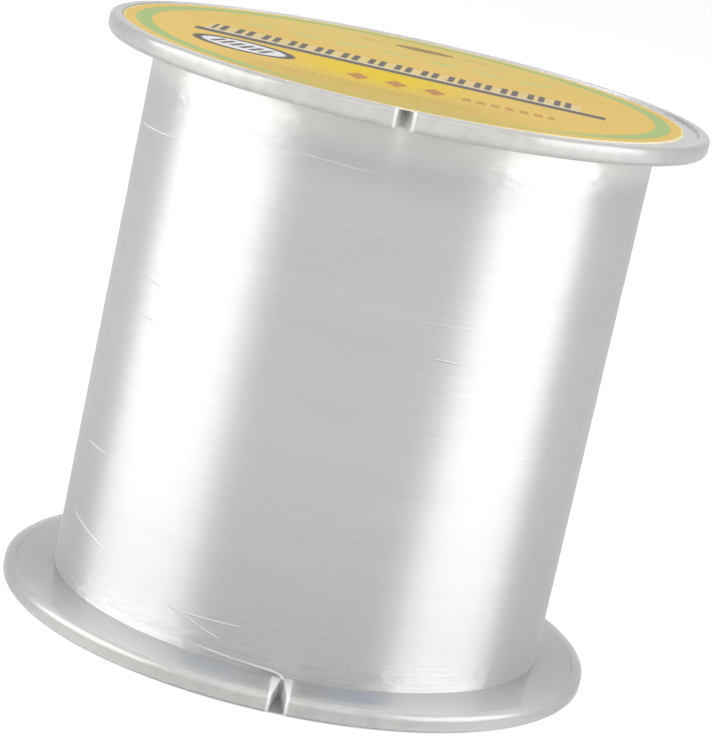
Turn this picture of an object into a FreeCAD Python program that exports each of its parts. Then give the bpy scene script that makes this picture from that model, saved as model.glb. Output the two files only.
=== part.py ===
import FreeCAD, Part
import os
import Sketcher
from FreeCAD import Placement, Rotation, Vector

# Fishing line spool, in millimetres. +Z runs up the spool's axis and the origin is the centre of
# the underside. Two clear moulded halves meet at mid-height, where a spigot on the upper half
# snaps into a socket in the lower one. The line is wound on their barrel, a paper label lies in
# the recess of the top flange, and the V notch of each flange faces -Y.

# Each driving dimension with its value, in millimetres where nothing else is said, and what it sets.
DIMENSIONS = [
    ("flange_diameter", 65.0, "over the rim of either flange"),
    ("overall_height", 62.4, "underside to top face"),
    ("rim_thickness", 2.0, "height of a flange at its rim"),
    ("rim_width", 1.2, "ring left around the recess in a flange's outer face"),
    ("recess_depth", 0.25, "depth of that recess, in which the label lies"),
    ("web_rise", 0.7, "how much thicker a flange is at the barrel than at its rim"),
    ("inner_rim_bevel", 0.5, "bevel on the rim's edge on the line's side"),
    ("outer_rim_bevel", 0.3, "bevel on the rim's edge on the outer side"),
    ("barrel_diameter", 42.5, "outside of the barrel"),
    ("barrel_wall", 1.8, "wall of the barrel"),
    ("bore_diameter", 12.0, "hole for the spindle"),
    ("bore_wall", 1.5, "wall of the tube around the bore"),
    ("bore_chamfer", 0.6, "lead-in at the mouth of the bore"),
    ("rib_count", 6, "ribs between bore tube and barrel"),
    ("rib_thickness", 1.2, "thickness of a rib at the flange"),
    ("rib_draft", 0.5, "draft angle of a rib, in degrees"),
    ("rib_root", 0.5, "how far a rib runs into the barrel wall"),
    ("rib_setback", 0.8, "how far a rib stops short of the joint's socket"),
    ("socket_wall", 0.9, "barrel wall left around the socket"),
    ("socket_depth", 4.2, "depth of the socket"),
    ("socket_end_gap", 0.2, "between the spigot's end and the socket's floor"),
    ("joint_clearance", 0.05, "play between spigot and socket on each side"),
    ("snap_height", 0.2, "how far the snap bead stands out of the spigot"),
    ("snap_width", 1.0, "width of the snap bead"),
    ("snap_offset", 2.0, "from mid-height to the snap bead"),
    ("tube_gap", 0.2, "gap between the two bore tubes at mid-height"),
    ("key_width", 3.0, "key that lines up the notches of the two halves"),
    ("key_clearance", 0.1, "play on each side of the key"),
    ("key_setback", 0.15, "how far the key stands back from the hollow of the barrel"),
    ("line_depth", 5.95, "depth of the wound line on the barrel"),
    ("pack_edge_bevel", 0.5, "slope where the outer layers of line end at a flange"),
    ("pack_clearance", 0.05, "between the wound line and the plastic"),
    ("notch_mouth", 1.7, "width of a line notch at the rim"),
    ("notch_tip", 0.3, "width of a line notch at its inner end"),
    ("notch_tip_gap", 0.3, "between a line notch's inner end and the wound line"),
    ("notch_lip_round", 0.6, "rounding of the notch's two corners at the rim"),
    ("label_margin", 0.9, "recess left bare around a label stuck on in the middle"),
    ("label_shift", 0.8, "how far off the middle the label is stuck on, towards -X"),
    ("label_thickness", 0.15, "thickness of the label"),
]

doc = FreeCAD.newDocument("FishingLineSpool")
sheet = doc.addObject("Spreadsheet::Sheet", "Dims")
for row, (alias, value, meaning) in enumerate(DIMENSIONS, start=1):
    sheet.set(f"A{row}", alias)
    sheet.set(f"B{row}", str(value))
    sheet.setAlias(f"B{row}", alias)
    sheet.set(f"C{row}", meaning)
doc.recompute()

# Lengths that several pieces share, worked out from the driving dimensions. In a half's own
# frame its outer face lies at z = 0 and its barrel runs up to the joint at mid-height.
FLANGE_RADIUS = "Dims.flange_diameter / 2"
RECESS_RADIUS = "(Dims.flange_diameter / 2 - Dims.rim_width)"
BARREL_RADIUS = "Dims.barrel_diameter / 2"
HOLLOW_RADIUS = "(Dims.barrel_diameter / 2 - Dims.barrel_wall)"
SOCKET_RADIUS = "(Dims.barrel_diameter / 2 - Dims.socket_wall)"
SPIGOT_RADIUS = "(Dims.barrel_diameter / 2 - Dims.socket_wall - Dims.joint_clearance)"
TUBE_RADIUS = "(Dims.bore_diameter / 2 + Dims.bore_wall)"
PACK_RADIUS = "(Dims.barrel_diameter / 2 + Dims.line_depth)"
PACK_BORE_RADIUS = "(Dims.barrel_diameter / 2 + Dims.pack_clearance)"
JOINT_HEIGHT = "Dims.overall_height / 2"
SPIGOT_LENGTH = "(Dims.socket_depth - Dims.socket_end_gap)"
WEB_TOP = "(Dims.rim_thickness + Dims.web_rise)"
CONE_SLOPE = "(Dims.web_rise / (Dims.flange_diameter / 2 - Dims.barrel_diameter / 2))"

# A sketch's own numbers for its axes, and for the start, end and centre of a side.
HORIZONTAL_AXIS, VERTICAL_AXIS = range(-1, -3, -1)
START, END, CENTRE = range(1, 4)
ORIGIN_POINT = (HORIZONTAL_AXIS, START)
SAME_PLACE = 1e-5


def new_sketch(body, name, plane, height=None):
    """Add a sketch on one of the body's own planes, at a height that an expression may give."""
    sketch = body.newObject("Sketcher::SketchObject", name)
    support = [f for f in body.Origin.OriginFeatures if f.Role == f"{plane}_Plane"][0]
    sketch.AttachmentSupport = [(support, "")]
    sketch.MapMode = "FlatFace"
    if height:
        sketch.setExpression("AttachmentOffset.Base.z", height)
    return sketch


def drive(sketch, kind, places, expression):
    """Add a constraint whose value an expression gives."""
    value = sketch.evalExpression(expression)
    index = sketch.addConstraint(Sketcher.Constraint(kind, *places, value))
    sketch.setExpression(f"Constraints[{index}]", expression)


def hold_start(sketch, line, across, along):
    """Fix the start of a line at two expressions. A coordinate of "0" puts it on that axis."""
    coordinates = [("DistanceX", VERTICAL_AXIS, across), ("DistanceY", HORIZONTAL_AXIS, along)]
    for kind, axis, expression in coordinates:
        if expression == "0":
            sketch.addConstraint(Sketcher.Constraint("PointOnObject", line, START, axis))
        else:
            drive(sketch, kind, (*ORIGIN_POINT, line, START), expression)


def draw_outline(sketch, corners):
    """Draw a closed outline of straight sides through corners given as pairs of expressions."""
    places = [Vector(sketch.evalExpression(x), sketch.evalExpression(y), 0) for x, y in corners]
    for place, following in zip(places, places[1:] + places[:1]):
        sketch.addGeometry(Part.LineSegment(place, following))
    for line, (across, along) in enumerate(corners):
        before = (line - 1) % len(corners)
        sketch.addConstraint(Sketcher.Constraint("Coincident", before, END, line, START))
        hold_start(sketch, line, across, along)


def draw_circle(sketch, radius):
    """Draw a circle about the sketch's origin whose radius is an expression."""
    outline = Part.Circle(Vector(0, 0, 0), Vector(0, 0, 1), sketch.evalExpression(radius))
    circle = sketch.addGeometry(outline)
    sketch.addConstraint(Sketcher.Constraint("Coincident", circle, CENTRE, *ORIGIN_POINT))
    drive(sketch, "Radius", (circle,), radius)


def settled(feature):
    """Rebuild the document and stop at a feature that fails."""
    doc.recompute()
    if "Invalid" in feature.State or "Error" in feature.State or feature.Shape.isNull():
        raise RuntimeError(f"{feature.Name} failed: {feature.State}")
    return feature


def turn(body, kind, name, corners):
    """Turn an outline in the XZ plane once around the spool's axis, to add or to cut a ring."""
    sketch = new_sketch(body, f"{name}Outline", "XZ")
    draw_outline(sketch, corners)
    feature = body.newObject(f"PartDesign::{kind}", name)
    feature.Profile = sketch
    feature.ReferenceAxis = (sketch, ["V_Axis"])
    feature.Angle = 360
    return settled(feature)


def pad(body, name, sketch, height):
    """Raise a sketch by an expression's height."""
    feature = body.newObject("PartDesign::Pad", name)
    feature.Profile = sketch
    feature.setExpression("Length", height)
    return settled(feature)


def pocket(body, name, sketch, depth, upwards):
    """Cut a sketch to an expression's depth, upwards or downwards."""
    feature = body.newObject("PartDesign::Pocket", name)
    feature.Profile = sketch
    feature.setExpression("Length", depth)
    feature.Reversed = upwards
    return settled(feature)


def must_cut(body, cut, *details):
    """Make a cut and stop if it took nothing away."""
    volume_before = body.Shape.Volume
    feature = cut(body, *details)
    if not body.Shape.Volume < volume_before:
        raise RuntimeError(f"{feature.Name} removed nothing")


def treat_edges(body, kind, name, size_property, size, chosen):
    """Fillet or chamfer the edges of the body's last feature for which chosen(edge) holds."""
    base = body.Tip
    names = [f"Edge{number}" for number, edge in enumerate(base.Shape.Edges, start=1) if chosen(edge)]
    if not names:
        raise RuntimeError(f"{name} found no edge")
    feature = body.newObject(f"PartDesign::{kind}", name)
    feature.Base = (base, names)
    feature.setExpression(size_property, size)
    return settled(feature)


def flange_and_barrel(body, joint_corners):
    """Revolve the flange with its recess and conical inner face, and the barrel up to its joint."""
    corners = [
        (RECESS_RADIUS, "0"),
        (FLANGE_RADIUS, "0"),
        (FLANGE_RADIUS, "Dims.rim_thickness"),
        (BARREL_RADIUS, WEB_TOP),
        (BARREL_RADIUS, JOINT_HEIGHT),
    ]
    corners += joint_corners
    corners += [
        (HOLLOW_RADIUS, "Dims.recess_depth"),
        (RECESS_RADIUS, "Dims.recess_depth"),
    ]
    turn(body, "Revolution", "FlangeAndBarrel", corners)


def line_notch(body):
    """Cut the V notch that pinches the line's end, and round its two corners at the rim."""
    sketch = new_sketch(body, "NotchOutline", "XY")
    half_mouth, half_tip = "Dims.notch_mouth / 2", "Dims.notch_tip / 2"
    tip_y = f"-({PACK_RADIUS} + Dims.notch_tip_gap)"
    rim_y = f"-{FLANGE_RADIUS}"
    outside_y = f"-{FLANGE_RADIUS} - Dims.notch_mouth"
    draw_outline(sketch, [
        (f"-{half_tip}", tip_y),
        (f"-{half_mouth}", rim_y),
        (f"-{half_mouth}", outside_y),
        (half_mouth, outside_y),
        (half_mouth, rim_y),
        (half_tip, tip_y),
    ])
    must_cut(body, pocket, "LineNotch", sketch, f"{WEB_TOP} * 2", True)

    def corner_at_the_rim(edge):
        box = edge.BoundBox
        upright = box.XLength < SAME_PLACE and box.YLength < SAME_PLACE
        outside_recess = box.YMax < sheet.rim_width - sheet.flange_diameter / 2
        return upright and outside_recess and abs(box.ZLength - sheet.rim_thickness) < SAME_PLACE

    treat_edges(body, "Fillet", "NotchLips", "Radius", "Dims.notch_lip_round", corner_at_the_rim)


def rim_bevels(body):
    """Bevel the rim on its outer side and on the line's side, where the cone comes down to it."""
    beyond = f"{FLANGE_RADIUS} + Dims.rim_thickness"
    outer = "Dims.outer_rim_bevel"
    must_cut(body, turn, "Groove", "OuterRimBevel", [
        (f"{FLANGE_RADIUS} - {outer}", "0"),
        (FLANGE_RADIUS, outer),
        (beyond, outer),
        (beyond, f"-{outer}"),
        (f"{FLANGE_RADIUS} - {outer}", f"-{outer}"),
    ])
    inner = "Dims.inner_rim_bevel"
    must_cut(body, turn, "Groove", "InnerRimBevel", [
        (FLANGE_RADIUS, f"Dims.rim_thickness - {inner}"),
        (f"{FLANGE_RADIUS} - {inner}", f"Dims.rim_thickness + {inner} * {CONE_SLOPE}"),
        (f"{FLANGE_RADIUS} - {inner}", WEB_TOP),
        (beyond, WEB_TOP),
        (beyond, f"Dims.rim_thickness - {inner}"),
    ])


def hub(body):
    """Add the ribs and the bore tube inside the barrel, and open the bore with its lead-in."""
    rib_outline = new_sketch(body, "RibOutline", "XY", "Dims.recess_depth")
    half_rib = "Dims.rib_thickness / 2"
    rib_end = f"{HOLLOW_RADIUS} + Dims.rib_root"
    draw_outline(rib_outline, [
        ("0", f"-{half_rib}"),
        (rib_end, f"-{half_rib}"),
        (rib_end, half_rib),
        ("0", half_rib),
    ])
    rib_height = f"{JOINT_HEIGHT} - Dims.recess_depth - Dims.socket_depth - Dims.rib_setback"
    rib = pad(body, "Rib", rib_outline, rib_height)
    rib.setExpression("TaperAngle", "-Dims.rib_draft")
    settled(rib)
    ribs = body.newObject("PartDesign::PolarPattern", "Ribs")
    ribs.Originals = [rib]
    ribs.Axis = (rib_outline, ["N_Axis"])
    ribs.Angle = 360
    ribs.setExpression("Occurrences", "Dims.rib_count")
    body.Tip = ribs
    settled(ribs)

    tube_outline = new_sketch(body, "TubeOutline", "XY", "Dims.recess_depth")
    draw_circle(tube_outline, TUBE_RADIUS)
    pad(body, "BoreTube", tube_outline, f"{JOINT_HEIGHT} - Dims.recess_depth - Dims.tube_gap / 2")
    bore_outline = new_sketch(body, "BoreOutline", "XY")
    draw_circle(bore_outline, "Dims.bore_diameter / 2")
    must_cut(body, pocket, "Bore", bore_outline, "Dims.overall_height", True)

    def mouth_of_bore(edge):
        box = edge.BoundBox
        at_the_face = abs(box.ZMax - sheet.recess_depth) < SAME_PLACE and box.ZLength < SAME_PLACE
        return at_the_face and abs(box.XLength - sheet.bore_diameter) < SAME_PLACE

    treat_edges(body, "Chamfer", "BoreLeadIn", "Size", "Dims.bore_chamfer", mouth_of_bore)


def lower_half():
    """The half with the socket, a groove for the snap bead, and the key."""
    body = doc.addObject("PartDesign::Body", "LowerHalf")
    body.Label = "lower_half"
    groove = f"{SOCKET_RADIUS} + Dims.snap_height"
    groove_middle = f"{JOINT_HEIGHT} - Dims.snap_offset"
    half_groove = "(Dims.snap_width / 2 + Dims.joint_clearance)"
    floor = f"{JOINT_HEIGHT} - Dims.socket_depth"
    flange_and_barrel(body, [
        (SOCKET_RADIUS, JOINT_HEIGHT),
        (SOCKET_RADIUS, f"{groove_middle} + {half_groove}"),
        (groove, groove_middle),
        (SOCKET_RADIUS, f"{groove_middle} - {half_groove}"),
        (SOCKET_RADIUS, floor),
        (HOLLOW_RADIUS, floor),
    ])
    line_notch(body)
    rim_bevels(body)
    hub(body)

    key_outline = new_sketch(body, "KeyOutline", "XY", floor)
    half_key = "Dims.key_width / 2"
    key_back = f"-({SOCKET_RADIUS} + {BARREL_RADIUS}) / 2"
    key_front = f"-({HOLLOW_RADIUS} + Dims.key_setback)"
    draw_outline(key_outline, [
        (f"-{half_key}", key_back),
        (half_key, key_back),
        (half_key, key_front),
        (f"-{half_key}", key_front),
    ])
    pad(body, "Key", key_outline, "Dims.socket_depth - Dims.snap_offset - Dims.snap_width")
    return body


def upper_half():
    """The half with the spigot, its snap bead and the slot for the key, turned over in place."""
    body = doc.addObject("PartDesign::Body", "UpperHalf")
    body.Label = "upper_half"
    bead = f"{SPIGOT_RADIUS} + Dims.snap_height"
    bead_middle = f"{JOINT_HEIGHT} + Dims.snap_offset"
    spigot_end = f"{JOINT_HEIGHT} + {SPIGOT_LENGTH}"
    flange_and_barrel(body, [
        (SPIGOT_RADIUS, JOINT_HEIGHT),
        (SPIGOT_RADIUS, f"{bead_middle} - Dims.snap_width / 2"),
        (bead, bead_middle),
        (SPIGOT_RADIUS, f"{bead_middle} + Dims.snap_width / 2"),
        (SPIGOT_RADIUS, spigot_end),
        (HOLLOW_RADIUS, spigot_end),
    ])
    line_notch(body)
    rim_bevels(body)
    hub(body)

    slot_outline = new_sketch(body, "SlotOutline", "XY", spigot_end)
    half_slot = "(Dims.key_width / 2 + Dims.key_clearance)"
    slot_back = f"-({BARREL_RADIUS} + Dims.barrel_wall)"
    slot_front = f"-({HOLLOW_RADIUS} - Dims.barrel_wall)"
    draw_outline(slot_outline, [
        (f"-{half_slot}", slot_back),
        (half_slot, slot_back),
        (half_slot, slot_front),
        (f"-{half_slot}", slot_front),
    ])
    must_cut(body, pocket, "KeySlot", slot_outline, SPIGOT_LENGTH, False)
    body.Placement = Placement(Vector(0, 0, 0), Rotation(Vector(0, 1, 0), 180))
    body.setExpression("Placement.Base.z", "Dims.overall_height")
    return body


def line_pack():
    """The wound line as one closed ring that fills the space between the flanges' inner faces."""
    body = doc.addObject("PartDesign::Body", "LinePack")
    body.Label = "line_pack"
    low_inside = f"{WEB_TOP} + Dims.pack_clearance"
    cone_at_the_pack = f"Dims.rim_thickness + ({FLANGE_RADIUS} - {PACK_RADIUS}) * {CONE_SLOPE}"
    low_outside = f"{cone_at_the_pack} + Dims.pack_clearance"
    turn(body, "Revolution", "WoundLine", [
        (PACK_BORE_RADIUS, low_inside),
        (PACK_RADIUS, low_outside),
        (PACK_RADIUS, f"Dims.overall_height - ({low_outside})"),
        (PACK_BORE_RADIUS, f"Dims.overall_height - ({low_inside})"),
    ])

    def outer_edge(edge):
        box = edge.BoundBox
        pack_diameter = sheet.barrel_diameter + 2 * sheet.line_depth
        return abs(box.XLength - pack_diameter) < SAME_PLACE and box.ZLength < SAME_PLACE

    treat_edges(body, "Chamfer", "PackEdges", "Size", "Dims.pack_edge_bevel", outer_edge)
    return body


def face_label():
    """The round paper label on the floor of the top flange's recess."""
    label = doc.addObject("Part::Cylinder", "FaceLabel")
    label.Label = "face_label"
    label.setExpression("Radius", f"{RECESS_RADIUS} - Dims.label_margin")
    label.setExpression("Height", "Dims.label_thickness")
    label.setExpression("Placement.Base.x", "-Dims.label_shift")
    label.setExpression("Placement.Base.z", "Dims.overall_height - Dims.recess_depth")
    return label


parts = [lower_half(), upper_half(), line_pack(), face_label()]
doc.recompute()

for thing in doc.Objects:
    if "Invalid" in thing.State or "Error" in thing.State:
        raise RuntimeError(f"{thing.Label} failed: {thing.State}")
for part in parts:
    if part.Shape.isNull() or not part.Shape.isValid() or len(part.Shape.Solids) != 1:
        raise RuntimeError(f"{part.Label} is not one valid solid")

os.makedirs("parts", exist_ok=True)
for part in parts:
    part.Shape.exportStep(f"parts/{part.Label}.step")
    box = part.Shape.BoundBox
    print(f"{part.Label}: {part.Shape.Volume:.1f} mm3, z {box.ZMin:.3f} to {box.ZMax:.3f}")
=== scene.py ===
import math

import bmesh
import bpy
import numpy as np
from mathutils import Matrix, Vector


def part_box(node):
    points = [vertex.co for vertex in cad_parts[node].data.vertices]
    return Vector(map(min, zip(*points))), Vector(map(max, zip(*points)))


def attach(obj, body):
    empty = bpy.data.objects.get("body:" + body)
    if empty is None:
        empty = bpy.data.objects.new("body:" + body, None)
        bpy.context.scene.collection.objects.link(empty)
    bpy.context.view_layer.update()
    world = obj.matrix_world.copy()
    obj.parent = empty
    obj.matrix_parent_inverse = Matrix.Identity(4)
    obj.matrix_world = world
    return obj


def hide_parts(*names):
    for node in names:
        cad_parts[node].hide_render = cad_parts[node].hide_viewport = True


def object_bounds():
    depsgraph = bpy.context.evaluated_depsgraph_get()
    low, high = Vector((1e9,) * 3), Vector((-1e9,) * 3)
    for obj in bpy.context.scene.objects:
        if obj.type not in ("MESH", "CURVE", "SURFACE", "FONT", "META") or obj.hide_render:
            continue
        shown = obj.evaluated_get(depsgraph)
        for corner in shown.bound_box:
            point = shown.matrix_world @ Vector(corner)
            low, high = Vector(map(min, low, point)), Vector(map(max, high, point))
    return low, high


# Looks of the fishing line spool, in metres, in the part's own frame: +Z runs up the spool's axis,
# the origin is the centre of the underside and the line notches face -Y.

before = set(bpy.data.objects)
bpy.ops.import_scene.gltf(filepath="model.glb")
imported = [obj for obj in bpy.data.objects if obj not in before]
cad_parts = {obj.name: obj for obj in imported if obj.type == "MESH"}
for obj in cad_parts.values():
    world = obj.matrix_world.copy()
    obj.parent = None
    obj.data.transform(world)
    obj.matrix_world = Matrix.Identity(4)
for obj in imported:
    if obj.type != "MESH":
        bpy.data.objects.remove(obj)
cad_low, cad_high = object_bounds()
lower_low, lower_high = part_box("lower_half")
pack_low, pack_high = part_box("line_pack")
label_low, label_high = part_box("face_label")

MM = 0.001
FLANGE_RADIUS = lower_high.x
HEIGHT = cad_high.z
JOINT_HEIGHT = lower_high.z
PACK_RADIUS = pack_high.x
LABEL_RADIUS = (label_high.x - label_low.x) / 2
LABEL_CENTRE = (label_high.x + label_low.x) / 2
RECESS_DEPTH = HEIGHT - label_low.z

# Sizes of the plastic that the frame's boxes don't give.
RIM_THICKNESS = 2.0 * MM
RECESS_RADIUS = FLANGE_RADIUS - 1.2 * MM
RECESS_EDGE_WIDTH = 0.15 * MM
WEB_RISE = 0.7 * MM
WEB_FILLET = 0.4 * MM
MID_WEB_RADIUS = 24.0 * MM
BARREL_RADIUS = 21.25 * MM
HOLLOW_RADIUS = 19.45 * MM
SOCKET_RADIUS = 20.35 * MM
SPIGOT_RADIUS = 20.3 * MM
SOCKET_DEPTH = 4.2 * MM
SPIGOT_LENGTH = 4.0 * MM
SEAM_GAP = 0.02 * MM
OUTER_RIM_ROUND = 0.5 * MM
INNER_RIM_ROUND = 0.8 * MM
BORE_RADIUS = 6.0 * MM
BORE_CHAMFER = 0.6 * MM
TUBE_RADIUS = 7.5 * MM
TUBE_GAP = 0.2 * MM
RIB_COUNT = 6
RIB_THICKNESS = 1.2 * MM
RIB_DRAFT = math.radians(0.5)
RIB_BOTTOM = RECESS_DEPTH + 0.02 * MM
RIB_TOP = 26.2 * MM
RIB_INTO_TUBE = 0.8 * MM
RIB_INTO_BARREL = 0.3 * MM
NOTCH_TIP_RADIUS = PACK_RADIUS + 0.3 * MM
NOTCH_TIP_ROUND = 0.15 * MM
NOTCH_HALF_MOUTH = 0.85 * MM
NOTCH_LIP_ROUND = 0.6 * MM
NOTCH_AZIMUTH = math.radians(-90)

# The line and how it is wound.
STRAND_RADIUS = 0.165 * MM
PITCH = 0.334 * MM

# The camera, from a fit of both rims, the winding and the notches to the photograph.
VIEW_ELEVATION = math.radians(12.55)
VIEW_ROLL = math.radians(12.30)
VIEW_AZIMUTH = math.radians(-0.75)
VIEW_DISTANCE = 0.326946
SPOOL_RIGHT_OF_AIM = -0.559 * MM
SPOOL_BELOW_AIM = -1.945 * MM
LENS = 146.957

# Mesh settings: points closer than this are one point, edges sharper than this many degrees are
# creases, and the round pieces have so many steps around.
SAME_POINT = 1e-8
SHARP_ANGLE = 35
AZIMUTH_STEPS = 384
TUBE_STEPS = 96
LABEL_STEPS = 256


def slope_at(radius):
    """Height of a flange's inner face above its outer face at a radius."""
    return RIM_THICKNESS + WEB_RISE * (FLANGE_RADIUS - radius) / (FLANGE_RADIUS - BARREL_RADIUS)


def smooth_shading(mesh, sharp_angle=SHARP_ANGLE):
    """Smooth shading that breaks at edges sharper than the angle."""
    mesh.shade_smooth()
    mesh.set_sharp_from_angle(angle=math.radians(sharp_angle))


def mesh_object(name, verts, faces, material, sharp_angle=SHARP_ANGLE):
    """A mesh object in the scene, with smooth shading."""
    mesh = bpy.data.meshes.new(name)
    mesh.from_pydata([tuple(v) for v in verts], [], [tuple(f) for f in faces])
    mesh.validate()
    smooth_shading(mesh, sharp_angle)
    mesh.materials.append(material)
    thing = bpy.data.objects.new(name, mesh)
    bpy.context.scene.collection.objects.link(thing)
    return thing


def tidy_normals(thing):
    """Merge double points and turn all faces outwards."""
    work = bmesh.new()
    work.from_mesh(thing.data)
    bmesh.ops.remove_doubles(work, verts=work.verts, dist=SAME_POINT)
    bmesh.ops.recalc_face_normals(work, faces=work.faces)
    work.to_mesh(thing.data)
    work.free()


def show(thing, node):
    """The piece rides on the spool and stands in for a CAD node, which is hidden."""
    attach(thing, "root")
    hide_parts(node)


# Node helpers for the materials.

class Nodes:
    """A node tree with short calls for the nodes that the finishes use."""

    def __init__(self, owner, output="ShaderNodeOutputMaterial"):
        """Start the empty tree of a material or a world."""
        owner.use_nodes = True
        self.owner = owner
        self.tree = owner.node_tree
        self.tree.nodes.clear()
        self.output = self.tree.nodes.new(output)

    def new(self, kind, **settings):
        """A node with its settings."""
        node = self.tree.nodes.new(kind)
        for key, value in settings.items():
            setattr(node, key, value)
        return node

    def put(self, socket, value):
        """Link a socket to another one, or set it to a number, a vector or a colour without alpha."""
        if isinstance(value, bpy.types.NodeSocket):
            self.tree.links.new(value, socket)
        elif socket.type == "RGBA":
            socket.default_value = (*value, 1.0)
        else:
            socket.default_value = value

    def math(self, operation, a, b=0.0):
        """One step of arithmetic."""
        node = self.new("ShaderNodeMath", operation=operation)
        self.put(node.inputs[0], a)
        self.put(node.inputs[1], b)
        return node.outputs[0]

    def product(self, first, *others):
        """Values multiplied with each other."""
        for other in others:
            first = self.math("MULTIPLY", first, other)
        return first

    def rest(self, value):
        """What is left to 1."""
        return self.math("SUBTRACT", 1.0, value)

    def length(self, x, y):
        """Distance of a point from the origin of two coordinates."""
        return self.math("SQRT", self.math("ADD", self.product(x, x), self.product(y, y)))

    def step(self, value, low, high):
        """0 below low, 1 above high and a smooth rise between them."""
        node = self.new("ShaderNodeMapRange", interpolation_type="SMOOTHSTEP")
        self.put(node.inputs["Value"], value)
        self.put(node.inputs["From Min"], low)
        self.put(node.inputs["From Max"], high)
        return node.outputs["Result"]

    def scale(self, value, low, high):
        """A value from 0 to 1 stretched to a range."""
        node = self.new("ShaderNodeMapRange")
        self.put(node.inputs["Value"], value)
        self.put(node.inputs["To Min"], low)
        self.put(node.inputs["To Max"], high)
        return node.outputs["Result"]

    def blend(self, factor, first, second):
        """Colour that goes from first to second with the factor."""
        node = self.new("ShaderNodeMix", data_type="RGBA")
        self.put(node.inputs["Factor"], factor)
        self.put(node.inputs["A"], first)
        self.put(node.inputs["B"], second)
        return node.outputs["Result"]

    def place(self):
        """A point of the object in metres, as one vector and as its x, y and z."""
        coordinates = self.new("ShaderNodeTexCoord").outputs["Object"]
        split = self.new("ShaderNodeSeparateXYZ")
        self.put(split.inputs[0], coordinates)
        return coordinates, split.outputs

    def noise(self, vector, scale, detail=2.0):
        """Soft noise from 0 to 1, with about scale changes over one unit of the vector."""
        node = self.new("ShaderNodeTexNoise")
        self.put(node.inputs["Vector"], vector)
        self.put(node.inputs["Scale"], scale)
        self.put(node.inputs["Detail"], detail)
        return node.outputs["Fac"]

    def winding_noise(self, azimuth, turn, around, across, layer):
        """Noise over the winding with so many changes per radian around it and per turn across it."""
        node = self.new("ShaderNodeCombineXYZ")
        places = (self.product(azimuth, around), self.product(turn, across), layer)
        for socket, value in zip(node.inputs, places):
            self.put(socket, value)
        return self.noise(node.outputs[0], 1.0)

    def bump(self, height, distance, strength=1.0):
        """Normal of a surface with a fine relief."""
        node = self.new("ShaderNodeBump")
        self.put(node.inputs["Height"], height)
        self.put(node.inputs["Distance"], distance)
        self.put(node.inputs["Strength"], strength)
        return node.outputs[0]

    def finish(self, **values):
        """Close the tree with one Principled shader whose sockets get these values."""
        shader = self.new("ShaderNodeBsdfPrincipled")
        for key, value in values.items():
            self.put(shader.inputs[key.replace("_", " ")], value)
        self.put(self.output.inputs["Surface"], shader.outputs[0])
        return self.owner


# The part of a noise pattern's range in which one tone turns into the other.
NOISE_SPAN = (0.3, 0.7)

# The clear plastic. Haze is the share of light that a place scatters. On a flange's web it grows
# from the sides to the notch, with a share more in between.
CLEAR_TONES = ((0.82, 0.825, 0.825), (0.86, 0.86, 0.855))
WORN_TONE = (0.93, 0.925, 0.895)
WEB_HAZE = (0.12, 0.32)
WEB_HAZE_BETWEEN = 0.17
RIM_HAZE = 0.55
RIM_HAZE_REACH = (0.4 * MM, 1.5 * MM)
RIM_CORNER = (0.3 * MM, 0.6 * MM)
RIM_CORNER_SHARE = 0.88
LOWER_RIM_SHARE = 0.76
SIDE_SHARE = 0.42
SCUFFING = (0.8, 1.2)
CLEAR_ROUGHNESS = (0.14, 0.26)
WORN_ROUGHNESS = 0.05
COAT_BY_WEAR = (0.2, 0.8)
FLOW_MARK_HEIGHT = 0.05 * MM
NOTCH_SCATTER_DEPTH = 5.0 * MM
NOTCH_HAZE = 0.85
NOTCH_WEAR = (0.95 * MM, 1.4 * MM)
NOTCH_WEAR_DEPTH = (PACK_RADIUS - 0.5 * MM, PACK_RADIUS + 0.3 * MM)
MID_HEIGHT = (HEIGHT / 2 - MM, HEIGHT / 2 + MM)

# Painted shade and reflection: the darker, faintly bluish patches of the lower flange on both sides of its
# notch.
PAINTED_SHADE_GREY = (0.60, 0.60, 0.59)
PAINTED_REFLECTION_BLUE = (0.61, 0.66, 0.745)
PATCH_START = (1.2 * MM, 2.0 * MM)
PATCH_END = (9.0 * MM, 13.0 * MM)
PATCH_INNER_EDGE = (PACK_RADIUS, PACK_RADIUS + 0.8 * MM)
PATCH_OUTER_EDGE = (FLANGE_RADIUS - 2.2 * MM, FLANGE_RADIUS - 1.2 * MM)
PATCH_FRONT = (0.0, 20.0 * MM)
PATCH_TURNS_BLUE = (2.5 * MM, 6.0 * MM)
LEFT_PATCH_SHARE = 0.6


def plastic_haze(n, point, x, y, z):
    """Haze by place, how scuffed the place is, and the mask of the worn notches."""
    radius = n.length(x, y)
    forward = n.math("DIVIDE", y, radius)
    forward = n.product(forward, forward)
    from_outer_face = n.math("SUBTRACT", HEIGHT / 2, n.math("ABSOLUTE", n.math("SUBTRACT", z, HEIGHT / 2)))
    rim = n.product(
        n.rest(n.step(n.math("SUBTRACT", FLANGE_RADIUS, radius), *RIM_HAZE_REACH)),
        n.scale(n.step(z, *MID_HEIGHT), LOWER_RIM_SHARE, 1.0),
        n.scale(n.step(from_outer_face, *RIM_CORNER), RIM_CORNER_SHARE, 1.0),
        n.scale(forward, SIDE_SHARE, 1.0),
        n.scale(n.noise(point, 600.0, 3.0), *SCUFFING),
    )
    beside_notch = n.rest(n.step(n.math("ABSOLUTE", x), *NOTCH_WEAR))
    notch = n.product(beside_notch, n.step(n.product(y, -1.0), *NOTCH_WEAR_DEPTH))
    between = n.product(forward, n.rest(forward), 4.0 * WEB_HAZE_BETWEEN)
    web = n.math("ADD", n.scale(forward, *WEB_HAZE), between)
    haze = n.math("MAXIMUM", n.product(rim, RIM_HAZE), n.product(notch, NOTCH_HAZE))
    return n.math("MAXIMUM", haze, web), n.math("MAXIMUM", rim, notch), notch


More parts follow.
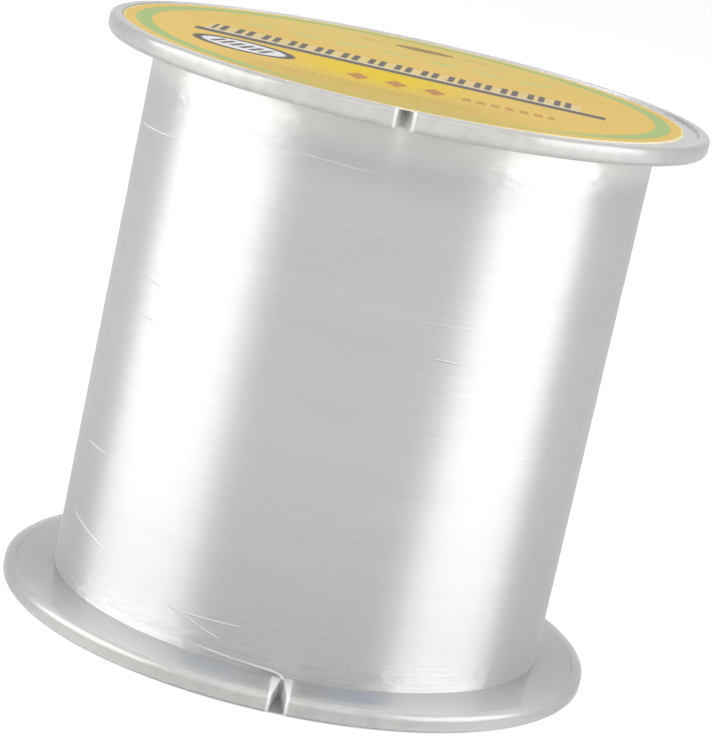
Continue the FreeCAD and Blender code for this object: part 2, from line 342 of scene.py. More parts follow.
def painted_shade_and_reflection(n, x, y, z):
    """Mask of the painted shade and reflection beside the lower notch, and how far each patch has turned
    from grey to blue.
    """
    radius = n.length(x, y)
    away = n.math("ABSOLUTE", x)
    mask = n.product(
        n.step(away, *PATCH_START),
        n.rest(n.step(away, *PATCH_END)),
        n.scale(n.step(x, -MM, MM), LEFT_PATCH_SHARE, 1.0),
        n.step(radius, *PATCH_INNER_EDGE),
        n.rest(n.step(radius, *PATCH_OUTER_EDGE)),
        n.step(n.product(y, -1.0), *PATCH_FRONT),
        n.rest(n.step(z, *MID_HEIGHT)),
    )
    return mask, n.step(away, *PATCH_TURNS_BLUE)


def clear_plastic():
    """Clear moulded polystyrene: smooth faces with faint flow marks, and edges scuffed to a haze."""
    n = Nodes(bpy.data.materials.new("clear_plastic"))
    point, place = n.place()
    flow = n.noise(point, 90.0, 3.0)
    fine = n.noise(point, 900.0)
    haze, worn, notch = plastic_haze(n, point, *place)
    painted_patch, turned = painted_shade_and_reflection(n, *place)
    tone = n.blend(n.step(flow, *NOISE_SPAN), *CLEAR_TONES)
    # Painted shade and reflection in the patches beside the lower notch.
    tone = n.blend(painted_patch, tone, n.blend(turned, PAINTED_SHADE_GREY, PAINTED_REFLECTION_BLUE))
    smears = n.scale(n.noise(point, 320.0, 4.0), *CLEAR_ROUGHNESS)
    return n.finish(
        Base_Color=n.blend(worn, tone, WORN_TONE),
        Roughness=n.math("ADD", smears, n.product(worn, WORN_ROUGHNESS)),
        IOR=1.59,
        Transmission_Weight=n.rest(haze),
        Coat_Weight=n.scale(worn, *COAT_BY_WEAR),
        Coat_Roughness=0.10,
        Subsurface_Weight=notch,
        Subsurface_Radius=(1.0, 1.0, 1.0),
        Subsurface_Scale=NOTCH_SCATTER_DEPTH,
        Normal=n.bump(n.math("ADD", n.product(flow, 0.8), n.product(fine, 0.2)), FLOW_MARK_HEIGHT, 0.2),
    )


# The winding's colour is painted darker towards its foot, a painted shade where the lower flange
# shades it, and paler at its top, a painted light where light comes in through the upper flange.
TURN_TONES = ((0.545, 0.55, 0.554), (0.573, 0.579, 0.58))
PAINTED_FOOT_SHADE = (0.42, 0.42, 0.425)
FOOT_SHARE = 0.4
FOOT_SPAN = (2.0 * MM, 30.0 * MM)
PAINTED_TOP_LIGHT = (0.93, 0.92, 0.89)
TOP_SPAN = (HEIGHT - 7.0 * MM, HEIGHT - 2.4 * MM)

# Next to the flanges, where the winding turns back, its turns lie less evenly.
UNEVEN_AT_FOOT = (3.5 * MM, 7.0 * MM)
UNEVEN_AT_TOP = (HEIGHT - 10.0 * MM, HEIGHT - 4.0 * MM)

NYLON_IOR = 1.53


def wound_nylon():
    """Clear nylon in close turns: silvery, glossy along the turns and soft across them."""
    n = Nodes(bpy.data.materials.new("nylon_line"))
    _, (x, y, z) = n.place()
    azimuth = n.math("ARCTAN2", y, x)
    turn = n.math("DIVIDE", z, PITCH)
    each = n.winding_noise(azimuth, turn, 0.7, 0.9, 0.0)
    group = n.winding_noise(azimuth, turn, 0.9, 0.12, 3.0)
    uneven = n.winding_noise(azimuth, turn, 12.0, 0.35, 5.0)
    shade = n.math("ADD", n.product(each, 0.5), n.product(group, 0.5))
    colour = n.blend(n.step(shade, *NOISE_SPAN), *TURN_TONES)
    # Painted shade towards the foot, then painted light at the top.
    colour = n.blend(n.scale(n.rest(n.step(z, *FOOT_SPAN)), 0.0, FOOT_SHARE), colour, PAINTED_FOOT_SHADE)
    colour = n.blend(n.step(z, *TOP_SPAN), colour, PAINTED_TOP_LIGHT)
    near_ends = n.math("MAXIMUM", n.step(z, *UNEVEN_AT_TOP), n.rest(n.step(z, *UNEVEN_AT_FOOT)))
    return n.finish(
        Base_Color=colour,
        Metallic=0.72,
        Roughness=n.scale(each, 0.46, 0.50),
        IOR=NYLON_IOR,
        Anisotropic=0.93,
        Anisotropic_Rotation=0.25,
        Normal=n.bump(n.product(uneven, n.scale(near_ends, 0.05, 1.0)), 0.12 * MM),
    )


def single_strand():
    """One strand of the clear nylon by itself: brighter than the turns below it, a lighter copy of the
    nylon that paints a highlight.
    """
    n = Nodes(bpy.data.materials.new("nylon_strand"))
    point, _ = n.place()
    tone = n.noise(point, 400.0)
    return n.finish(
        # The lighter colour than the turns is a painted highlight.
        Base_Color=n.blend(n.step(tone, *NOISE_SPAN), (0.70, 0.71, 0.71), (0.76, 0.76, 0.755)),
        Roughness=n.scale(tone, 0.16, 0.26),
        IOR=NYLON_IOR,
        Transmission_Weight=0.35,
    )


# The label's print: colours, and lengths in millimetres from the label's middle. X runs to the
# right with the notches in front.
PRINT_SOFTNESS = 0.06
OVAL_SOFTNESS = 0.05
YELLOWS = ((0.68, 0.47, 0.125), (0.71, 0.50, 0.145))
FAR_YELLOW = (0.64, 0.50, 0.155)
FRONT_YELLOW = (0.55, 0.40, 0.105)
BRIGHT_YELLOW = (0.72, 0.52, 0.012)
EDGE_YELLOW = (0.76, 0.66, 0.38)
INK_YELLOW = (0.90, 0.80, 0.50)
TAN = (0.66, 0.58, 0.42)
PALE_TAN = (0.70, 0.68, 0.62)
RULE_BLACK = (0.14, 0.125, 0.11)
BADGE_BLACK = (0.11, 0.10, 0.095)
BADGE_WHITE = (0.74, 0.73, 0.76)
STRIPE_BLACK = (0.13, 0.12, 0.12)
BROWN = (0.47, 0.235, 0.075)
OLIVE = (0.45, 0.32, 0.08)
LEAF_GREEN = (0.34, 0.55, 0.22)
RING_GREEN = (0.36, 0.47, 0.19)
DARK_BROWN = (0.25, 0.16, 0.10)
LINE_BROWN = (0.42, 0.27, 0.12)
PAPER_WHITE = (0.92, 0.915, 0.89)
PAPER_BACK = (label_low.z + 0.04 * MM, label_low.z + 0.08 * MM)

SCALE_CENTRE, SCALE_TILT = (-0.4, -2.8), -4.4
BAR_PAIR_PITCH = 2.9
FIRST_PAIR = 40.6
BADGE_CENTRE, BADGE_TILT = (-16.8, -9.2), -20.0
LOZENGE_CENTRES = ((-4.6, -13.2), (-0.6, -13.2), (3.4, -13.2))
LOZENGE_HALF = (1.25, 2.6)
DASH_CENTRE, DASH_TILT = (0.0, -13.6), -1.5
FINE_CENTRE, FINE_TILT = (-4.0, -20.3), -4.0
LEAF_HALF, LEAF_PITCH, LEAF_ROW, LEAF_DROP, LEAF_TILT = (2.1, 0.85), 5.2, 12.4, 0.06, 24.0
ORNAMENT_CENTRE, ORNAMENT_HALF = (2.0, 21.6), (3.4, 1.5)
GREEN_RING = (27.3, 29.0)
EDGE_RING = (30.1, 30.2)


class Print:
    """The label's print while it builds up: its coordinates and the colour so far."""

    def __init__(self, n, x, y, colour):
        """Start with a ground colour and the label's x and y in metres."""
        self.n = n
        self.x = n.math("DIVIDE", n.math("SUBTRACT", x, LABEL_CENTRE), MM)
        self.y = n.math("DIVIDE", y, MM)
        self.colour = colour

    def paint(self, mask, colour, strength=1.0):
        """Lay a colour over the print where the mask says."""
        self.colour = self.n.blend(self.n.scale(mask, 0.0, strength), self.colour, colour)

    def around(self, centre, degrees=0.0):
        """Coordinates measured from a place on the label, along and across a direction."""
        n, turn = self.n, math.radians(degrees)
        dx, dy = n.math("SUBTRACT", self.x, centre[0]), n.math("SUBTRACT", self.y, centre[1])
        along = n.math("ADD", n.product(dx, math.cos(turn)), n.product(dy, math.sin(turn)))
        across = n.math("SUBTRACT", n.product(dy, math.cos(turn)), n.product(dx, math.sin(turn)))
        return along, across

    def near(self, centre, inside, outside):
        """A round spot that fades out between two distances from its centre."""
        return self.n.rest(self.n.step(self.n.length(*self.around(centre)), inside, outside))

    def between(self, value, low, high):
        """1 from low to high, with soft edges."""
        rise = self.n.step(value, low - PRINT_SOFTNESS, low + PRINT_SOFTNESS)
        return self.n.product(rise, self.n.rest(
            self.n.step(value, high - PRINT_SOFTNESS, high + PRINT_SOFTNESS)))

    def box(self, along, across, from_along, to_along, from_across, to_across):
        """A bar between two places along a direction and two across it."""
        return self.n.product(self.between(along, from_along, to_along),
                              self.between(across, from_across, to_across))

    def stripes(self, value, half_pitch, half_gap):
        """Equal stripes with gaps of twice half_gap."""
        return self.n.step(self.n.math("PINGPONG", value, half_pitch),
                           half_gap - PRINT_SOFTNESS, half_gap + PRINT_SOFTNESS)

    def oval(self, centre, half, degrees=0.0):
        """An oval with half its length and width."""
        along, across = self.around(centre, degrees)
        reach = self.n.length(self.n.math("DIVIDE", along, half[0]), self.n.math("DIVIDE", across, half[1]))
        return self.n.rest(self.n.step(reach, 1.0 - OVAL_SOFTNESS, 1.0 + OVAL_SOFTNESS))


def print_ground(p):
    """The yellow ground: duller at the far edge and at the front, and bright behind the lozenges."""
    p.paint(p.n.step(p.y, 2.0, 28.0), FAR_YELLOW, 0.8)
    p.paint(p.near((-2.0, -30.0), 6.0, 26.0), FRONT_YELLOW, 0.8)
    p.paint(p.near((-3.0, -8.0), 2.0, 15.0), BRIGHT_YELLOW, 0.9)


def print_scale(p):
    """A plain scale: a rule with pairs of bars along it on a paler band."""
    n = p.n
    along, across = p.around(SCALE_CENTRE, SCALE_TILT)
    p.paint(p.box(along, across, -21.4, 19.4, 0.7, 6.3), TAN, 0.42)
    p.paint(p.box(along, across, -21.4, 19.4, 0.7, 1.7), PALE_TAN, 0.55)
    from_pair = n.math("PINGPONG", n.math("ADD", along, FIRST_PAIR), BAR_PAIR_PITCH / 2)
    bars = n.product(p.between(from_pair, 0.24, 0.92), p.box(along, across, -20.9, 18.9, 1.7, 6.4))
    p.paint(n.math("MAXIMUM", p.box(along, across, -22.2, 22.2, -1.6, 0.7), bars), RULE_BLACK)


def print_badge(p):
    """An oval badge with plain stripes."""
    p.paint(p.oval(BADGE_CENTRE, (5.6, 4.5), BADGE_TILT), BADGE_BLACK)
    p.paint(p.oval(BADGE_CENTRE, (4.6, 3.4), BADGE_TILT), BADGE_WHITE)
    along, across = p.around(BADGE_CENTRE, BADGE_TILT)
    stripes = p.stripes(p.n.math("ADD", along, 9.0), 0.55, 0.24)
    p.paint(p.n.product(stripes, p.box(along, across, -3.2, 3.2, -1.7, 1.7)), STRIPE_BLACK)


def print_front(p):
    """Brown lozenges, a row of dashes and two rows of fine dashes towards the front."""
    n = p.n
    for centre in LOZENGE_CENTRES:
        away = [n.math("DIVIDE", n.math("ABSOLUTE", value), half)
                for value, half in zip(p.around(centre), LOZENGE_HALF)]
        p.paint(n.rest(n.step(n.math("ADD", *away), 1.0 - PRINT_SOFTNESS, 1.0 + PRINT_SOFTNESS)), BROWN)
    along, across = p.around(DASH_CENTRE, DASH_TILT)
    p.paint(n.product(p.stripes(along, 0.75, 0.3), p.box(along, across, 6.0, 16.0, -1.1, 1.1)), BROWN, 0.8)
    along, across = p.around(FINE_CENTRE, FINE_TILT)
    dashes = n.product(p.stripes(along, 0.45, 0.15), p.stripes(across, 1.0, 0.35))
    p.paint(n.product(dashes, p.box(along, across, -11.0, 12.0, -2.0, 2.0)), OLIVE, 0.42)


def print_far_side(p):
    """A row of leaves behind the scale, and a plain ornament at the far edge."""
    for number in range(-3, 4):
        centre = (number * LEAF_PITCH - 1.0, LEAF_ROW - LEAF_DROP * number * number)
        leaf = p.oval(centre, LEAF_HALF, LEAF_TILT if number % 2 else -LEAF_TILT)
        p.paint(leaf, LEAF_GREEN, 0.55)
    p.paint(p.oval(ORNAMENT_CENTRE, ORNAMENT_HALF), DARK_BROWN, 0.85)
    along, across = p.around(ORNAMENT_CENTRE)
    p.paint(p.box(p.n.math("ABSOLUTE", along), across, 4.4, 7.6, -0.28, 0.28), LINE_BROWN, 0.7)


def print_rings(p, point):
    """A green ring that fades at the front, and the pale edge of the print."""
    n = p.n
    ragged = n.scale(n.noise(point, 700.0), -0.06, 0.06)
    radius = n.math("ADD", n.length(p.x, p.y), ragged)
    fading = n.scale(p.near((4.0, -30.0), 10.0, 22.0), 1.0, 0.25)
    p.paint(n.product(p.between(radius, *GREEN_RING), fading), RING_GREEN)
    p.paint(n.step(radius, *EDGE_RING), EDGE_YELLOW)


def label_print():
    """Printed label: a plain design in the label's colours with no lettering, and white paper behind."""
    n = Nodes(bpy.data.materials.new("label_paper"))
    point, (x, y, z) = n.place()
    field = n.noise(point, 60.0, 3.0)
    ink = n.noise(point, 2600.0)
    p = Print(n, x, y, n.blend(n.step(field, *NOISE_SPAN), *YELLOWS))
    print_ground(p)
    print_scale(p)
    print_badge(p)
    print_front(p)
    print_far_side(p)
    print_rings(p, point)
    p.paint(n.step(ink, 0.55, 0.75), INK_YELLOW, 0.10)
    return n.finish(
        Base_Color=n.blend(n.step(z, *PAPER_BACK), PAPER_WHITE, p.colour),
        Roughness=n.scale(n.noise(point, 500.0, 3.0), 0.50, 0.62),
        Specular_IOR_Level=0.1,
        Normal=n.bump(n.math("ADD", ink, n.product(field, 2.0)), 0.012 * MM, 0.3),
    )


# The two moulded halves.

def arc(centre, radius, start, end, steps):
    """Points of an arc in the (radius, height) plane, with angles in degrees."""
    angles = np.radians(np.linspace(start, end, steps + 1))
    return [(centre[0] + radius * math.cos(a), centre[1] + radius * math.sin(a)) for a in angles]


def around_axis(profile, angles, centre_x=0.0):
    """The points of a (radius, height) profile at each angle, one profile point after the other."""
    return [(centre_x + r * math.cos(a), r * math.sin(a), z) for r, z in profile for a in angles]


def round_drop(across, radius):
    """How far a rounded edge has fallen at a distance from where the rounding starts."""
    return radius - math.sqrt(max(radius**2 - across**2, 0.0))


def notch_half_width(radius):
    """Half of the V notch's width at a radius: a rounded tip, straight sides and flared lips."""
    inward = max(radius - NOTCH_TIP_RADIUS, 0.0)
    tip = NOTCH_TIP_ROUND
    if inward < tip:
        straight = math.sqrt(tip**2 - (tip - inward) ** 2)
    else:
        share = (inward - tip) / (FLANGE_RADIUS - NOTCH_TIP_RADIUS - tip)
        straight = tip + (NOTCH_HALF_MOUTH - tip) * share
    into_lip = max(radius - (FLANGE_RADIUS - NOTCH_LIP_ROUND), 0.0)
    return straight + round_drop(into_lip, NOTCH_LIP_ROUND)


def notch_radii():
    """Radii at which the flange is sampled between the notch's tip and the rim."""
    tip = [NOTCH_TIP_RADIUS + NOTCH_TIP_ROUND * (1 - math.cos(math.radians(a))) for a in range(0, 91, 15)]
    sides = list(np.linspace(NOTCH_TIP_RADIUS + 0.4 * MM, RECESS_RADIUS - 0.4 * MM, 7))
    recess = [RECESS_RADIUS - d * MM for d in (0.15, 0.09, 0.04, 0.0)]
    rim = [RECESS_RADIUS + d * MM for d in (0.08, 0.2)]
    lip = [FLANGE_RADIUS - INNER_RIM_ROUND * (1 - math.sin(math.radians(a))) for a in range(0, 91, 9)]
    return tip + sides + recess + rim + lip


def outer_face_height(radius):
    """Height of the outer face: the rim ring with its rounded edge, and the recess inside it."""
    round_start = FLANGE_RADIUS - OUTER_RIM_ROUND
    if radius > round_start:
        return round_drop(radius - round_start, OUTER_RIM_ROUND)
    share = min(max((RECESS_RADIUS - radius) / RECESS_EDGE_WIDTH, 0.0), 1.0)
    return RECESS_DEPTH * share * share * (3 - 2 * share)


def inner_face_height(radius):
    """Height of the cone on the line's side, with the rim's rounding tangent to it."""
    tangent_radius = FLANGE_RADIUS - INNER_RIM_ROUND
    if radius <= tangent_radius:
        return slope_at(radius)
    return slope_at(tangent_radius) - round_drop(radius - tangent_radius, INNER_RIM_ROUND)


def spool_half(name, material, joint_points):
    """One half in its own frame: flange with notch, and barrel up to the joint."""
    shared = notch_radii()
    outer = [(HOLLOW_RADIUS, RECESS_DEPTH), (MID_WEB_RADIUS, RECESS_DEPTH)]
    before_notch = len(outer)
    outer += [(r, outer_face_height(r)) for r in shared]
    inner = [(r, inner_face_height(r)) for r in reversed(shared)]
    fillet_radius = BARREL_RADIUS + WEB_FILLET
    inner += arc((fillet_radius, slope_at(fillet_radius) + WEB_FILLET), WEB_FILLET, -90, -180, 4)
    verts, rows = [], []
    for r, z in outer + inner + joint_points:
        half = notch_half_width(r) / r
        count = AZIMUTH_STEPS + 1 if half > 0 else AZIMUTH_STEPS
        turned = np.arange(count) / AZIMUTH_STEPS * (2 * math.pi - 2 * half)
        first = len(verts)
        verts += around_axis([(r, z)], NOTCH_AZIMUTH + half + turned)
        rows.append([first + k % count for k in range(AZIMUTH_STEPS + 1)])
    faces = []
    for row, following in zip(rows, rows[1:] + rows[:1]):
        for k in range(AZIMUTH_STEPS):
            faces.append((row[k], following[k], following[k + 1], row[k + 1]))
    bottom = [before_notch + i for i in range(len(shared))]
    top = [len(outer) + len(shared) - 1 - i for i in range(len(shared))]
    for low, next_low, high, next_high in zip(bottom, bottom[1:], top, top[1:]):
        for column in (0, AZIMUTH_STEPS):
            wall = [rows[low][column], rows[next_low][column], rows[next_high][column], rows[high][column]]
            faces.append(tuple(dict.fromkeys(wall)))
    thing = mesh_object(name, verts, faces, material)
    tidy_normals(thing)
    smooth_shading(thing.data)
    return thing


def ring(name, profile, steps, material):
    """A closed profile turned once around the axis."""
    count = len(profile)
    angles = np.arange(steps) / steps * 2 * math.pi
    verts = [(r * math.cos(a), r * math.sin(a), z) for a in angles for r, z in profile]
    faces = []
    for k in range(steps):
        after = (k + 1) % steps
        for i in range(count):
            j = (i + 1) % count
            faces.append((k * count + i, k * count + j, after * count + j, after * count + i))
    thing = mesh_object(name, verts, faces, material)
    tidy_normals(thing)
    smooth_shading(thing.data)
    return thing


def rib(number, material):
    """One tapered rib from inside the tube's wall to just inside the barrel's wall."""
    inner, outer = TUBE_RADIUS - RIB_INTO_TUBE, HOLLOW_RADIUS + RIB_INTO_BARREL
    half_root = RIB_THICKNESS / 2
    half_top = half_root - math.tan(RIB_DRAFT) * (RIB_TOP - RECESS_DEPTH)
    angle = 2 * math.pi * number / RIB_COUNT
    verts = []
    for z, half in ((RIB_BOTTOM, half_root), (RIB_TOP, half_top)):
        for r, side in ((inner, -half), (outer, -half), (outer, half), (inner, half)):
            x = r * math.cos(angle) - side * math.sin(angle)
            y = r * math.sin(angle) + side * math.cos(angle)
            verts.append((x, y, z))
    faces = [(3, 2, 1, 0), (4, 5, 6, 7), (0, 1, 5, 4), (1, 2, 6, 5), (2, 3, 7, 6), (3, 0, 4, 7)]
    return mesh_object(f"rib_{number}", verts, faces, material)


def unite(base, others):
    """Add the other closed meshes to the base mesh and delete them."""
    for other in others:
        union = base.modifiers.new("union", "BOOLEAN")
        union.operation = "UNION"
        union.solver = "EXACT"
        union.object = other
    bpy.context.view_layer.update()
    evaluated = base.evaluated_get(bpy.context.evaluated_depsgraph_get())
    result = bpy.data.meshes.new_from_object(evaluated)
    base.modifiers.clear()
    base.data = result
    smooth_shading(result)
    for other in others:
        bpy.data.objects.remove(other)
    return base


def hub(name, material):
    """Bore tube with its lead-in chamfer, and the ribs around it."""
    tube_top = JOINT_HEIGHT - TUBE_GAP / 2
    bore_tube = ring(name, [
        (BORE_RADIUS + BORE_CHAMFER, RECESS_DEPTH),
        (TUBE_RADIUS, RECESS_DEPTH),
        (TUBE_RADIUS, tube_top),
        (BORE_RADIUS, tube_top),
        (BORE_RADIUS, RECESS_DEPTH + BORE_CHAMFER),
    ], TUBE_STEPS, material)
    return unite(bore_tube, [rib(number, material) for number in range(RIB_COUNT)])


def turn_over(thing):
    """Turn a half over about Y, so that its outer face becomes the spool's top face."""
    for v in thing.data.vertices:
        x, y, z = v.co
        v.co = (-x, y, HEIGHT - z)


def make_halves(material):
    """Both halves in place, with their hubs."""
    joint_end = JOINT_HEIGHT - SEAM_GAP / 2
    socket_floor = JOINT_HEIGHT - SOCKET_DEPTH
    spigot_end = JOINT_HEIGHT + SPIGOT_LENGTH
    lower = spool_half("lower_half_moulding", material, [
        (BARREL_RADIUS, joint_end),
        (SOCKET_RADIUS, joint_end),
        (SOCKET_RADIUS, socket_floor),
        (HOLLOW_RADIUS, socket_floor),
    ])
    upper = spool_half("upper_half_moulding", material, [
        (BARREL_RADIUS, joint_end),
        (SPIGOT_RADIUS, joint_end),
        (SPIGOT_RADIUS, spigot_end),
        (HOLLOW_RADIUS, spigot_end),
    ])
    lower_hub = hub("lower_hub_ribs", material)
    upper_hub = hub("upper_hub_ribs", material)
    for thing in (upper, upper_hub):
        turn_over(thing)
    for thing, node in ((lower, "lower_half"), (lower_hub, "lower_half"),
                        (upper, "upper_half"), (upper_hub, "upper_half")):
        show(thing, node)


# The wound line.

# Turns of line that lie across the others: azimuth in degrees and height in millimetres of both ends.
CROSSINGS = [
    ((-168.0, 51.8), (-143.0, 52.4)),
    ((-159.5, 17.9), (-147.0, 18.0)),
    ((-160.0, 10.1), (-138.5, 8.4)),
    ((-147.5, 37.9), (-139.0, 37.4)),
    ((-147.5, 34.0), (-139.0, 33.7)),
    ((-120.0, 6.4), (-105.0, 4.5)),
    ((-115.5, 6.0), (-100.5, 6.4)),
    ((-115.5, 55.2), (-90.5, 55.0)),
    ((-73.5, 37.8), (-66.0, 37.5)),
    ((20.0, 46.8), (46.0, 48.1)),
    ((62.0, 8.9), (94.0, 8.1)),
    ((101.0, 31.4), (122.0, 30.2)),
    ((138.0, 55.0), (160.0, 56.2)),
]

# A crossing strand's middle line lies this far from the pack's radius, in millimetres: at its ends,
# and how much further out between them. The lower the fullness, the sooner it is fully out.
CROSSING_LIFT = -0.225
CROSSING_RISE = 0.10
CROSSING_FULLNESS = 0.35
STRAND_IN_NOTCH = 0.22 * MM
LOOSE_STRAND_RADIUS = 0.94 * STRAND_RADIUS
STRAND_SHARP_ANGLE = 60

TURN_POINTS = 5
WINDING_STEPS = 96
WINDING_SHARP_ANGLE = 50
WINDING_INSET = 0.02 * MM
FLANGE_GAP_OUTSIDE = 0.01 * MM
FLANGE_GAP_INSIDE = 0.06 * MM
BARREL_GAP = 0.05 * MM
HIGHEST_BULGE = 0.01 * MM
GROOVE_DEPTH = 0.006 * MM

# How the turns wander: by how much, and over how many turns one change takes.
WANDER_SEED = 7
DEPTH_WANDER, DEPTH_SPACING = 0.002 * MM, 0.17
HEIGHT_WANDER, HEIGHT_SPACING = 0.02 * MM, 0.21
SWELL, SWELL_SPACING = 0.015 * MM, 7.3
UNEVEN_REACH = 3.0 * MM
UNEVEN_GAIN = 3.0


def smooth_noise(rng, positions, spacing):
    """Random values with a mean of 0 and a reach of about 1 that change smoothly along the positions."""
    knots = rng.standard_normal(int(positions.max() / spacing) + 3)
    place = positions / spacing
    index = place.astype(int)
    share = place - index
    share = share * share * (3 - 2 * share)
    return knots[index] * (1 - share) + knots[index + 1] * share


def wound_line(material):
    """The winding as one closed body: the outer layer turn by turn, and plain ends and an inner wall."""
    rng = np.random.default_rng(WANDER_SEED)
    crest = PACK_RADIUS - WINDING_INSET
    low = slope_at(PACK_RADIUS) + FLANGE_GAP_OUTSIDE
    high = HEIGHT - low
    turns = int((high - low) / PITCH) + 2
    rows = turns * TURN_POINTS + 1
    groove = -GROOVE_DEPTH * np.abs(np.cos(np.arange(TURN_POINTS) / TURN_POINTS * math.pi))
    row = np.arange(rows)[:, None]
    azimuth = np.arange(WINDING_STEPS)[None, :] / WINDING_STEPS
    length = row // TURN_POINTS + azimuth
    depth = smooth_noise(rng, length, DEPTH_SPACING) * DEPTH_WANDER
    rise = smooth_noise(rng, length, HEIGHT_SPACING) * HEIGHT_WANDER
    swell = smooth_noise(rng, length, SWELL_SPACING) * SWELL
    height = low - PITCH + (row / TURN_POINTS + azimuth) * PITCH + rise
    from_end = np.minimum(height - low, high - height) / UNEVEN_REACH
    uneven = 1 + UNEVEN_GAIN * (1 - np.clip(from_end, 0, 1))
    radius = crest + groove[row % TURN_POINTS] + np.minimum(depth * uneven, HIGHEST_BULGE)
    radius = radius + np.minimum(swell, 0.0)
    for beyond, edge in ((height < low, low), (height > high, high)):
        radius = np.where(beyond, crest - GROOVE_DEPTH, radius)
        height = np.where(beyond, edge, height)
    angle = azimuth * 2 * math.pi
    x, y = radius * np.cos(angle), radius * np.sin(angle)
    verts = np.stack([x, y, np.broadcast_to(height, x.shape)], axis=-1).reshape(-1, 3)
    faces = []
    for i in range(rows - 1):
        for k in range(WINDING_STEPS):
            if k < WINDING_STEPS - 1:
                a, b = i * WINDING_STEPS + k, i * WINDING_STEPS + k + 1
            elif i + 1 + TURN_POINTS < rows:
                a, b = i * WINDING_STEPS + k, (i + TURN_POINTS) * WINDING_STEPS
            else:
                continue
            faces.append((a, b, b + WINDING_STEPS, a + WINDING_STEPS))
    thing = mesh_object("wound_line", verts, faces, material, WINDING_SHARP_ANGLE)
    close_ends(thing)
    show(thing, "line_pack")


def close_ends(thing):
    """Take both open edges of the winding down to the barrel and join them there."""
    inner = BARREL_RADIUS + BARREL_GAP
    inner_low = slope_at(inner) + FLANGE_GAP_INSIDE
    work = bmesh.new()
    work.from_mesh(thing.data)
    bmesh.ops.remove_doubles(work, verts=work.verts, dist=SAME_POINT)
    bmesh.ops.dissolve_degenerate(work, dist=SAME_POINT, edges=work.edges)
    open_edges = [edge for edge in work.edges if edge.is_boundary]
    added = bmesh.ops.extrude_edge_only(work, edges=open_edges)["geom"]
    for vert in (item for item in added if isinstance(item, bmesh.types.BMVert)):
        shrink = inner / math.hypot(vert.co.x, vert.co.y)
        vert.co.x *= shrink
        vert.co.y *= shrink
        vert.co.z = inner_low if vert.co.z < HEIGHT / 2 else HEIGHT - inner_low
    inner_edges = [item for item in added if isinstance(item, bmesh.types.BMEdge) and item.is_boundary]
    bmesh.ops.bridge_loops(work, edges=inner_edges)
    bmesh.ops.recalc_face_normals(work, faces=work.faces)
    work.to_mesh(thing.data)
    work.free()
    smooth_shading(thing.data, WINDING_SHARP_ANGLE)


def strand(points, radius, sides=8):
    """Points and faces of a round strand with closed ends along a smooth run of points."""
    points = np.asarray(points)
    tangents = np.gradient(points, axis=0)
    tangents /= np.linalg.norm(tangents, axis=1)[:, None]
    across = np.cross(tangents, (0.0, 0.0, 1.0))
    across /= np.linalg.norm(across, axis=1)[:, None]
    upward = np.cross(across, tangents)
    angles = np.arange(sides) / sides * 2 * math.pi
    circle = np.cos(angles)[None, :, None] * across[:, None]
    circle = circle + np.sin(angles)[None, :, None] * upward[:, None]
    verts = (points[:, None] + radius * circle).reshape(-1, 3)
    faces = [tuple(reversed(range(sides))), tuple(range(len(verts) - sides, len(verts)))]
    for i in range(len(points) - 1):
        for k in range(sides):
            j = (k + 1) % sides
            faces.append((i * sides + k, i * sides + j, (i + 1) * sides + j, (i + 1) * sides + k))
    return verts, faces


def smooth_run(corners, steps):
    """Points on a smooth curve through corners, ends included."""
    corners = np.asarray(corners, dtype=float)
    padded = np.vstack([2 * corners[0] - corners[1], corners, 2 * corners[-1] - corners[-2]])
    points = []
    for i in range(1, len(padded) - 2):
        a, b, c, d = padded[i - 1:i + 3]
        for t in np.arange(steps) / steps:
            cubic = (-a + 3 * b - 3 * c + d) * t**3 + (2 * a - 5 * b + 4 * c - d) * t**2
            points.append(0.5 * (cubic + (c - a) * t + 2 * b))
    return np.vstack([points, corners[-1]])


def on_winding(azimuth, height, lift):
    """A point over the winding: azimuth in degrees, height, and the distance above its surface."""
    radius, angle = PACK_RADIUS + lift, math.radians(azimuth)
    return radius * math.cos(angle), radius * math.sin(angle), height


def loose_strands(material):
    """Turns that cross over the others, and the line's end pinched in the lower notch."""
    runs = []
    for (start, low), (end, high) in CROSSINGS:
        shares = np.linspace(0, 1, max(int(abs(end - start)), 12))
        lifts = (CROSSING_LIFT + CROSSING_RISE * np.sin(shares * math.pi) ** CROSSING_FULLNESS) * MM
        runs.append([on_winding(start + (end - start) * t, (low + (high - low) * t) * MM, lift)
                     for t, lift in zip(shares, lifts)])
    in_notch = NOTCH_TIP_RADIUS + STRAND_IN_NOTCH
    runs.append(smooth_run([
        on_winding(-112.0, 3.2 * MM, -0.20 * MM),
        on_winding(-106.0, 3.05 * MM, -0.12 * MM),
        on_winding(-97.0, 2.8 * MM, -0.06 * MM),
        on_winding(-91.5, 2.65 * MM, 0.16 * MM),
        (0.0, -in_notch, 2.3 * MM),
        (0.0, -in_notch, 1.6 * MM),
        (0.0, -in_notch - 0.05 * MM, 0.9 * MM),
        (0.0, -in_notch - 0.05 * MM, 0.15 * MM),
    ], 8))
    verts, faces = [], []
    for run in runs:
        more_verts, more_faces = strand(run, LOOSE_STRAND_RADIUS)
        faces += [tuple(len(verts) + i for i in face) for face in more_faces]
        verts += [tuple(v) for v in more_verts]
    thing = mesh_object("loose_strands_and_line_end", verts, faces, material, STRAND_SHARP_ANGLE)
    tidy_normals(thing)
    show(thing, "line_pack")


# The label.

LABEL_EDGE_ROUND = 0.03 * MM
LABEL_SAG = 0.03 * MM
UNDER_LABEL_GAP = 0.01 * MM


def label_sag(radius):
    """How far the label sinks over the open hub."""
    if radius > HOLLOW_RADIUS:
        return 0.0
    return LABEL_SAG * math.cos(radius / HOLLOW_RADIUS * math.pi / 2) ** 2


